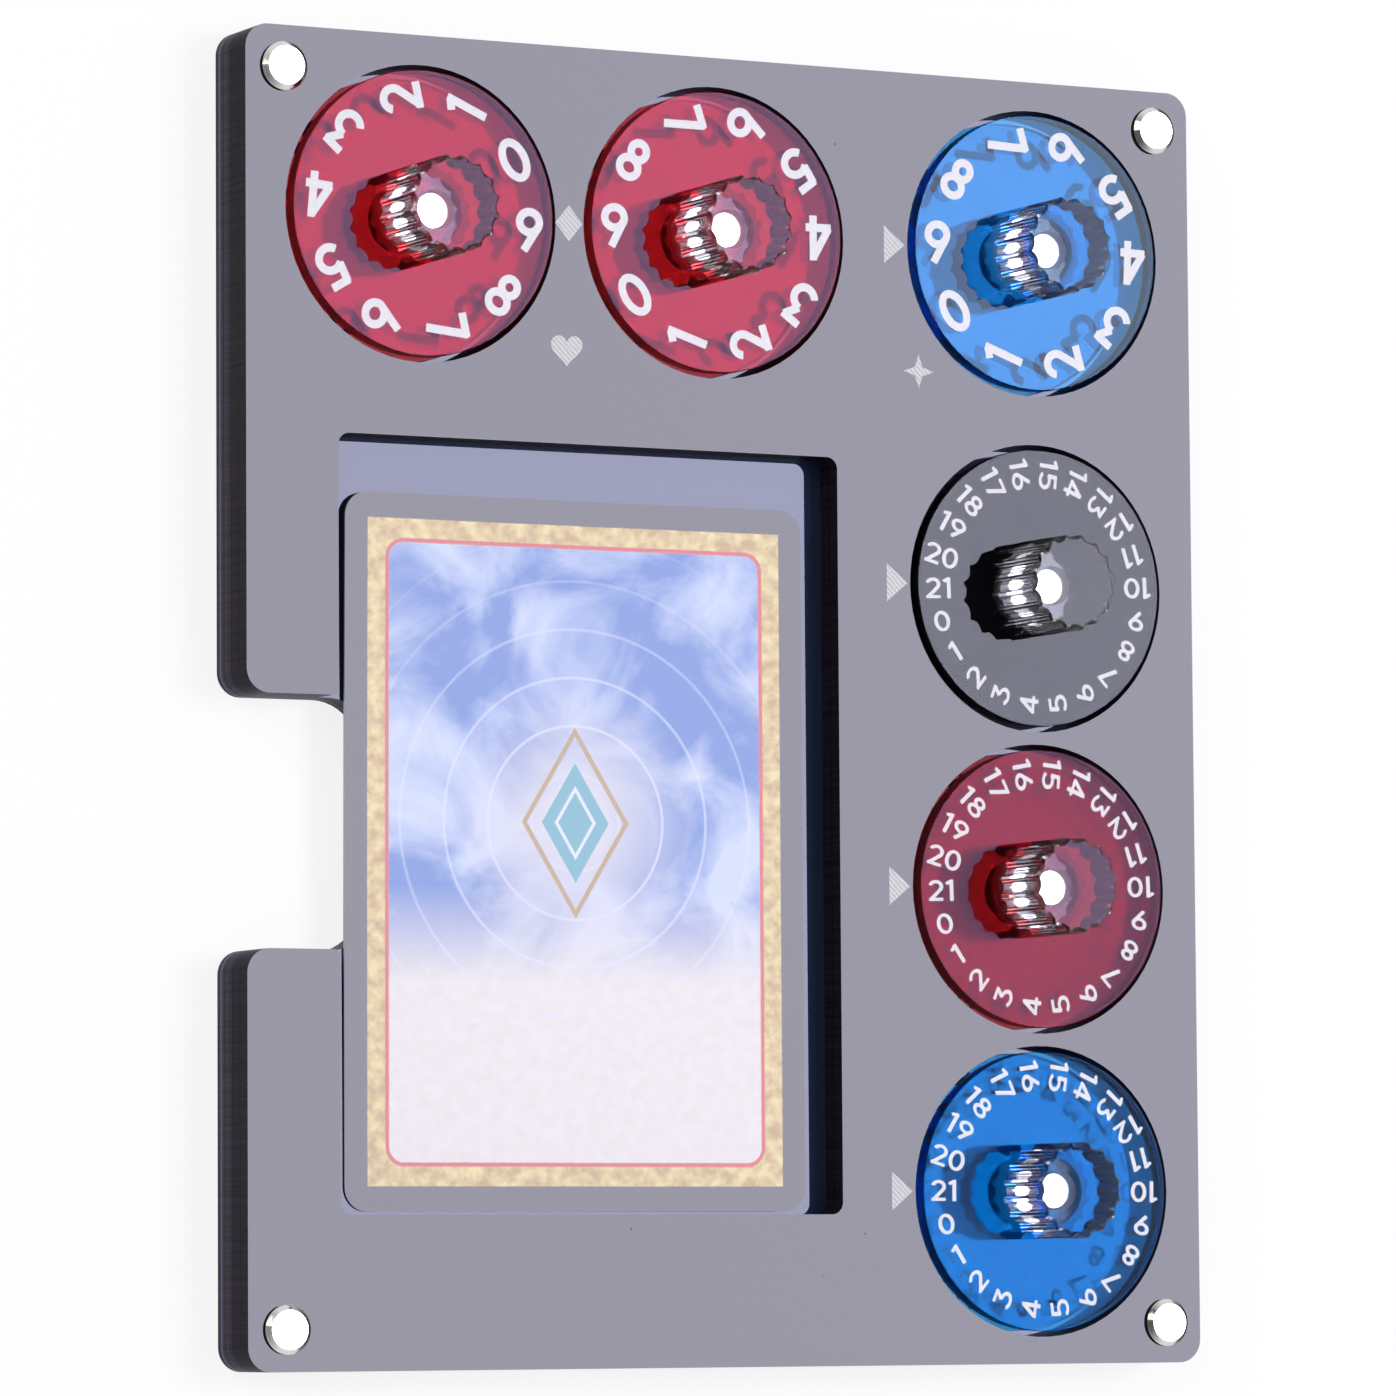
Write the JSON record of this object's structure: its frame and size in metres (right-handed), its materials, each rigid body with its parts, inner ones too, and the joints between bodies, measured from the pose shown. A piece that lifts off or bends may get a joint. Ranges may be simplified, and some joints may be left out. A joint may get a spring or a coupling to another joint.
{
  "type": "card game tray",
  "caption": "Flat stacked acrylic tray for a card game, with an open card pocket, a thumb notch and round number dials that turn by fluted knobs.",
  "frame": {"origin": "middle of the underside, on the surface that the tray rests on", "axes": "+X to the right across the face, +Y up the face towards the row of three dials, +Z out of the face"},
  "size_m": [0.1336, 0.1636, 0.0185],
  "materials": {
    "black_acrylic": "polished black cast acrylic with laser cut edges",
    "red_acrylic": "clear red acrylic, polished",
    "blue_acrylic": "clear blue acrylic, polished",
    "clear_acrylic": "water clear acrylic, polished",
    "smoke_acrylic": "smoke grey clear acrylic, polished",
    "polished_nickel": "turned and bright plated",
    "black_steel": "black oxide",
    "steel_pin": "ground and turned",
    "black_nylon": "plain moulded",
    "printed_card": "coated playing card stock with a plain printed pattern",
    "white_paint": "screen printed white numbers",
    "frosted_engraving": "laser engraved acrylic, frosted"
  },
  "bodies": {
    "tray": {"base_sheet": "black_acrylic", "core_sheet": "black_acrylic", "spacer_sheet": "black_acrylic", "front_sheet": "black_acrylic", "corner_barrels": "polished_nickel", "corner_screws": "black_steel", "life_tens_washer": "black_nylon", "life_tens_axle": "steel_pin", "life_units_washer": "black_nylon", "life_units_axle": "steel_pin", "cast_count_washer": "black_nylon", "cast_count_axle": "steel_pin", "smoke_tally_washer": "black_nylon", "smoke_tally_axle": "steel_pin", "red_tally_washer": "black_nylon", "red_tally_axle": "steel_pin", "blue_tally_washer": "black_nylon", "blue_tally_axle": "steel_pin"},
    "card": {"game_card": "printed_card"},
    "life_tens_dial": {"life_tens_disc": "red_acrylic", "life_tens_knob": "clear_acrylic"},
    "life_units_dial": {"life_units_disc": "red_acrylic", "life_units_knob": "clear_acrylic"},
    "cast_count_dial": {"cast_count_disc": "blue_acrylic", "cast_count_knob": "clear_acrylic"},
    "smoke_tally_dial": {"smoke_tally_disc": "smoke_acrylic", "smoke_tally_knob": "clear_acrylic"},
    "red_tally_dial": {"red_tally_disc": "red_acrylic", "red_tally_knob": "clear_acrylic"},
    "blue_tally_dial": {"blue_tally_disc": "blue_acrylic", "blue_tally_knob": "clear_acrylic"}
  },
  "joints": [
    {"name": "card_lift", "type": "slide", "parent": "tray", "child": "card", "axis": [0, 0, 1], "range_m": [0, 0.03]},
    {"name": "life_tens_turn", "type": "hinge", "parent": "tray", "child": "life_tens_dial", "pos_m": [-0.04311, 0.0597, 0.0095], "axis": [0, 0, 1], "continuous": true},
    {"name": "life_units_turn", "type": "hinge", "parent": "tray", "child": "life_units_dial", "pos_m": [-0.00246, 0.0597, 0.0095], "axis": [0, 0, 1], "continuous": true},
    {"name": "cast_count_turn", "type": "hinge", "parent": "tray", "child": "cast_count_dial", "pos_m": [0.0436, 0.0597, 0.0095], "axis": [0, 0, 1], "continuous": true},
    {"name": "smoke_tally_turn", "type": "hinge", "parent": "tray", "child": "smoke_tally_dial", "pos_m": [0.0436, 0.0167, 0.0095], "axis": [0, 0, 1], "continuous": true},
    {"name": "red_tally_turn", "type": "hinge", "parent": "tray", "child": "red_tally_dial", "pos_m": [0.0436, -0.02165, 0.0095], "axis": [0, 0, 1], "continuous": true},
    {"name": "blue_tally_turn", "type": "hinge", "parent": "tray", "child": "blue_tally_dial", "pos_m": [0.0436, -0.06, 0.0095], "axis": [0, 0, 1], "continuous": true}
  ]
}
